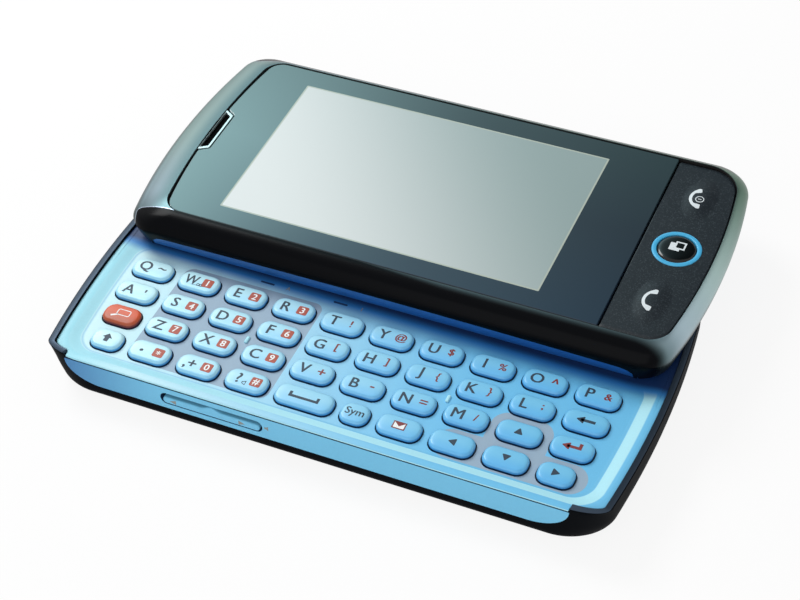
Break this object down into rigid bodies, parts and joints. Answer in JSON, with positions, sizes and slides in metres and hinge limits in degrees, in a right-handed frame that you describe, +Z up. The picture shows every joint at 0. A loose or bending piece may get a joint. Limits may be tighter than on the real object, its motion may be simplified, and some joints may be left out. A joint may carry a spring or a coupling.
{
  "type": "slider phone",
  "caption": "Sideways slider phone shown open: wide touch screen half over a base half with a raised-key letter keyboard.",
  "frame": {"origin": "centre of the keyboard half's flat back face, at the plane it rests on", "axes": "+X along the length towards the call keys, +Y the way the screen half slides open, +Z up out of the keyboard"},
  "size_m": [0.1064, 0.0828, 0.0159],
  "materials": {
    "black_housing": "gloss black moulded plastic",
    "black_cover": "fine satin black moulded plastic",
    "blue_deck": "pearl sky-blue paint, satin",
    "blue_trim": "pearl blue paint, satin",
    "blue_keys": "pearl pale blue key caps with printed legends",
    "orange_key": "orange key cap",
    "silicone_mat": "translucent silicone rubber",
    "circuit_board": "green solder mask with tinned cans",
    "battery_can": "plain wrapped aluminium cell",
    "camera": "black barrel with a clear lens",
    "screw_steel": "plated steel",
    "slide_steel": "brushed stainless steel",
    "spring_wire": "bright spring wire",
    "flex_film": "amber polyimide film",
    "black_frame": "gloss black flanks with gunmetal satin ends",
    "blue_panel": "blue paint, satin",
    "display": "pale liquid crystal display, switched off",
    "window_glass": "glossy window with a black printed mask",
    "earpiece_metal": "bright bar with a dark mesh",
    "call_keys": "dark textured satin plate with a blue ring",
    "menu_gloss": "gloss black domed key"
  },
  "bodies": {
    "keyboard_half": {"rear_housing": "black_housing", "keypad_deck": "blue_deck", "keypad_mat": "silicone_mat", "main_board": "circuit_board", "battery_pack": "battery_can", "camera_module": "camera", "base_screws": "screw_steel", "slide_rail": "slide_steel", "slide_springs": "spring_wire", "flex_cable": "flex_film"},
    "screen_half": {"slide_carriage": "slide_steel", "screen_frame": "black_frame", "screen_back_panel": "blue_panel", "display_module": "display", "touch_window": "window_glass", "earpiece": "earpiece_metal"},
    "battery_cover": {"battery_cover": "black_cover"},
    "volume_rocker": {"volume_rocker": "blue_trim"},
    "call_key_plate": {"call_key_plate": "call_keys"},
    "menu_key": {"menu_key": "menu_gloss"},
    "key_q": {"key_q": "blue_keys"},
    "key_w": {"key_w": "blue_keys"},
    "key_e": {"key_e": "blue_keys"},
    "key_r": {"key_r": "blue_keys"},
    "key_t": {"key_t": "blue_keys"},
    "key_y": {"key_y": "blue_keys"},
    "key_u": {"key_u": "blue_keys"},
    "key_i": {"key_i": "blue_keys"},
    "key_o": {"key_o": "blue_keys"},
    "key_p": {"key_p": "blue_keys"},
    "key_a": {"key_a": "blue_keys"},
    "key_s": {"key_s": "blue_keys"},
    "key_d": {"key_d": "blue_keys"},
    "key_f": {"key_f": "blue_keys"},
    "key_g": {"key_g": "blue_keys"},
    "key_h": {"key_h": "blue_keys"},
    "key_j": {"key_j": "blue_keys"},
    "key_k": {"key_k": "blue_keys"},
    "key_l": {"key_l": "blue_keys"},
    "key_backspace": {"key_backspace": "blue_keys"},
    "key_function": {"key_function": "orange_key"},
    "key_z": {"key_z": "blue_keys"},
    "key_x": {"key_x": "blue_keys"},
    "key_c": {"key_c": "blue_keys"},
    "key_v": {"key_v": "blue_keys"},
    "key_b": {"key_b": "blue_keys"},
    "key_n": {"key_n": "blue_keys"},
    "key_m": {"key_m": "blue_keys"},
    "key_up": {"key_up": "blue_keys"},
    "key_enter": {"key_enter": "blue_keys"},
    "key_shift": {"key_shift": "blue_keys"},
    "key_period": {"key_period": "blue_keys"},
    "key_comma": {"key_comma": "blue_keys"},
    "key_question": {"key_question": "blue_keys"},
    "key_space": {"key_space": "blue_keys"},
    "key_symbol": {"key_symbol": "blue_keys"},
    "key_mail": {"key_mail": "blue_keys"},
    "key_left": {"key_left": "blue_keys"},
    "key_down": {"key_down": "blue_keys"},
    "key_right": {"key_right": "blue_keys"}
  },
  "joints": [
    {"name": "body_slide", "type": "slide", "parent": "keyboard_half", "child": "screen_half", "axis": [0, -1, 0], "range_m": [0, 0.02925], "deforming": ["slide_springs", "flex_cable"]},
    {"name": "battery_cover_slide", "type": "slide", "parent": "keyboard_half", "child": "battery_cover", "axis": [1, 0, 0], "range_m": [0, 0.008]},
    {"name": "call_key_rock", "type": "hinge", "parent": "screen_half", "child": "call_key_plate", "pos_m": [0.0444, 0.02925, 0.01207], "axis": [1, 0, 0], "range_deg": [-1.2, 1.2], "stiffness_Nm_per_rad": 0.05},
    {"name": "centre_key_press", "type": "slide", "parent": "screen_half", "child": "menu_key", "axis": [0, 0, -1], "range_m": [0, 0.0003], "stiffness_N_per_m": 400, "springref_m": -0.0003},
    {"name": "rocker_rock", "type": "hinge", "parent": "keyboard_half", "child": "volume_rocker", "pos_m": [-0.0187, -0.02597, 0.0057], "axis": [0, 0, 1], "range_deg": [-1.8, 1.8], "stiffness_Nm_per_rad": 0.02},
    {"name": "key_q_press", "type": "slide", "parent": "keyboard_half", "child": "key_q", "axis": [0, 0, -1], "range_m": [0, 0.00025], "stiffness_N_per_m": 300, "springref_m": -0.0003},
    {"name": "key_w_press", "type": "slide", "parent": "keyboard_half", "child": "key_w", "axis": [0, 0, -1], "range_m": [0, 0.00025], "stiffness_N_per_m": 300, "springref_m": -0.0003},
    {"name": "key_e_press", "type": "slide", "parent": "keyboard_half", "child": "key_e", "axis": [0, 0, -1], "range_m": [0, 0.00025], "stiffness_N_per_m": 300, "springref_m": -0.0003},
    {"name": "key_r_press", "type": "slide", "parent": "keyboard_half", "child": "key_r", "axis": [0, 0, -1], "range_m": [0, 0.00025], "stiffness_N_per_m": 300, "springref_m": -0.0003},
    {"name": "key_t_press", "type": "slide", "parent": "keyboard_half", "child": "key_t", "axis": [0, 0, -1], "range_m": [0, 0.00025], "stiffness_N_per_m": 300, "springref_m": -0.0003},
    {"name": "key_y_press", "type": "slide", "parent": "keyboard_half", "child": "key_y", "axis": [0, 0, -1], "range_m": [0, 0.00025], "stiffness_N_per_m": 300, "springref_m": -0.0003},
    {"name": "key_u_press", "type": "slide", "parent": "keyboard_half", "child": "key_u", "axis": [0, 0, -1], "range_m": [0, 0.00025], "stiffness_N_per_m": 300, "springref_m": -0.0003},
    {"name": "key_i_press", "type": "slide", "parent": "keyboard_half", "child": "key_i", "axis": [0, 0, -1], "range_m": [0, 0.00025], "stiffness_N_per_m": 300, "springref_m": -0.0003},
    {"name": "key_o_press", "type": "slide", "parent": "keyboard_half", "child": "key_o", "axis": [0, 0, -1], "range_m": [0, 0.00025], "stiffness_N_per_m": 300, "springref_m": -0.0003},
    {"name": "key_p_press", "type": "slide", "parent": "keyboard_half", "child": "key_p", "axis": [0, 0, -1], "range_m": [0, 0.00025], "stiffness_N_per_m": 300, "springref_m": -0.0003},
    {"name": "key_a_press", "type": "slide", "parent": "keyboard_half", "child": "key_a", "axis": [0, 0, -1], "range_m": [0, 0.00025], "stiffness_N_per_m": 300, "springref_m": -0.0003},
    {"name": "key_s_press", "type": "slide", "parent": "keyboard_half", "child": "key_s", "axis": [0, 0, -1], "range_m": [0, 0.00025], "stiffness_N_per_m": 300, "springref_m": -0.0003},
    {"name": "key_d_press", "type": "slide", "parent": "keyboard_half", "child": "key_d", "axis": [0, 0, -1], "range_m": [0, 0.00025], "stiffness_N_per_m": 300, "springref_m": -0.0003},
    {"name": "key_f_press", "type": "slide", "parent": "keyboard_half", "child": "key_f", "axis": [0, 0, -1], "range_m": [0, 0.00025], "stiffness_N_per_m": 300, "springref_m": -0.0003},
    {"name": "key_g_press", "type": "slide", "parent": "keyboard_half", "child": "key_g", "axis": [0, 0, -1], "range_m": [0, 0.00025], "stiffness_N_per_m": 300, "springref_m": -0.0003},
    {"name": "key_h_press", "type": "slide", "parent": "keyboard_half", "child": "key_h", "axis": [0, 0, -1], "range_m": [0, 0.00025], "stiffness_N_per_m": 300, "springref_m": -0.0003},
    {"name": "key_j_press", "type": "slide", "parent": "keyboard_half", "child": "key_j", "axis": [0, 0, -1], "range_m": [0, 0.00025], "stiffness_N_per_m": 300, "springref_m": -0.0003},
    {"name": "key_k_press", "type": "slide", "parent": "keyboard_half", "child": "key_k", "axis": [0, 0, -1], "range_m": [0, 0.00025], "stiffness_N_per_m": 300, "springref_m": -0.0003},
    {"name": "key_l_press", "type": "slide", "parent": "keyboard_half", "child": "key_l", "axis": [0, 0, -1], "range_m": [0, 0.00025], "stiffness_N_per_m": 300, "springref_m": -0.0003},
    {"name": "key_backspace_press", "type": "slide", "parent": "keyboard_half", "child": "key_backspace", "axis": [0, 0, -1], "range_m": [0, 0.00025], "stiffness_N_per_m": 300, "springref_m": -0.0003},
    {"name": "key_function_press", "type": "slide", "parent": "keyboard_half", "child": "key_function", "axis": [0, 0, -1], "range_m": [0, 0.00025], "stiffness_N_per_m": 300, "springref_m": -0.0003},
    {"name": "key_z_press", "type": "slide", "parent": "keyboard_half", "child": "key_z", "axis": [0, 0, -1], "range_m": [0, 0.00025], "stiffness_N_per_m": 300, "springref_m": -0.0003},
    {"name": "key_x_press", "type": "slide", "parent": "keyboard_half", "child": "key_x", "axis": [0, 0, -1], "range_m": [0, 0.00025], "stiffness_N_per_m": 300, "springref_m": -0.0003},
    {"name": "key_c_press", "type": "slide", "parent": "keyboard_half", "child": "key_c", "axis": [0, 0, -1], "range_m": [0, 0.00025], "stiffness_N_per_m": 300, "springref_m": -0.0003},
    {"name": "key_v_press", "type": "slide", "parent": "keyboard_half", "child": "key_v", "axis": [0, 0, -1], "range_m": [0, 0.00025], "stiffness_N_per_m": 300, "springref_m": -0.0003},
    {"name": "key_b_press", "type": "slide", "parent": "keyboard_half", "child": "key_b", "axis": [0, 0, -1], "range_m": [0, 0.00025], "stiffness_N_per_m": 300, "springref_m": -0.0003},
    {"name": "key_n_press", "type": "slide", "parent": "keyboard_half", "child": "key_n", "axis": [0, 0, -1], "range_m": [0, 0.00025], "stiffness_N_per_m": 300, "springref_m": -0.0003},
    {"name": "key_m_press", "type": "slide", "parent": "keyboard_half", "child": "key_m", "axis": [0, 0, -1], "range_m": [0, 0.00025], "stiffness_N_per_m": 300, "springref_m": -0.0003},
    {"name": "key_up_press", "type": "slide", "parent": "keyboard_half", "child": "key_up", "axis": [0, 0, -1], "range_m": [0, 0.00025], "stiffness_N_per_m": 300, "springref_m": -0.0003},
    {"name": "key_enter_press", "type": "slide", "parent": "keyboard_half", "child": "key_enter", "axis": [0, 0, -1], "range_m": [0, 0.00025], "stiffness_N_per_m": 300, "springref_m": -0.0003},
    {"name": "key_shift_press", "type": "slide", "parent": "keyboard_half", "child": "key_shift", "axis": [0, 0, -1], "range_m": [0, 0.00025], "stiffness_N_per_m": 300, "springref_m": -0.0003},
    {"name": "key_period_press", "type": "slide", "parent": "keyboard_half", "child": "key_period", "axis": [0, 0, -1], "range_m": [0, 0.00025], "stiffness_N_per_m": 300, "springref_m": -0.0003},
    {"name": "key_comma_press", "type": "slide", "parent": "keyboard_half", "child": "key_comma", "axis": [0, 0, -1], "range_m": [0, 0.00025], "stiffness_N_per_m": 300, "springref_m": -0.0003},
    {"name": "key_question_press", "type": "slide", "parent": "keyboard_half", "child": "key_question", "axis": [0, 0, -1], "range_m": [0, 0.00025], "stiffness_N_per_m": 300, "springref_m": -0.0003},
    {"name": "key_space_press", "type": "slide", "parent": "keyboard_half", "child": "key_space", "axis": [0, 0, -1], "range_m": [0, 0.00025], "stiffness_N_per_m": 300, "springref_m": -0.0003},
    {"name": "key_symbol_press", "type": "slide", "parent": "keyboard_half", "child": "key_symbol", "axis": [0, 0, -1], "range_m": [0, 0.00025], "stiffness_N_per_m": 300, "springref_m": -0.0003},
    {"name": "key_mail_press", "type": "slide", "parent": "keyboard_half", "child": "key_mail", "axis": [0, 0, -1], "range_m": [0, 0.00025], "stiffness_N_per_m": 300, "springref_m": -0.0003},
    {"name": "key_left_press", "type": "slide", "parent": "keyboard_half", "child": "key_left", "axis": [0, 0, -1], "range_m": [0, 0.00025], "stiffness_N_per_m": 300, "springref_m": -0.0003},
    {"name": "key_down_press", "type": "slide", "parent": "keyboard_half", "child": "key_down", "axis": [0, 0, -1], "range_m": [0, 0.00025], "stiffness_N_per_m": 300, "springref_m": -0.0003},
    {"name": "key_right_press", "type": "slide", "parent": "keyboard_half", "child": "key_right", "axis": [0, 0, -1], "range_m": [0, 0.00025], "stiffness_N_per_m": 300, "springref_m": -0.0003}
  ]
}
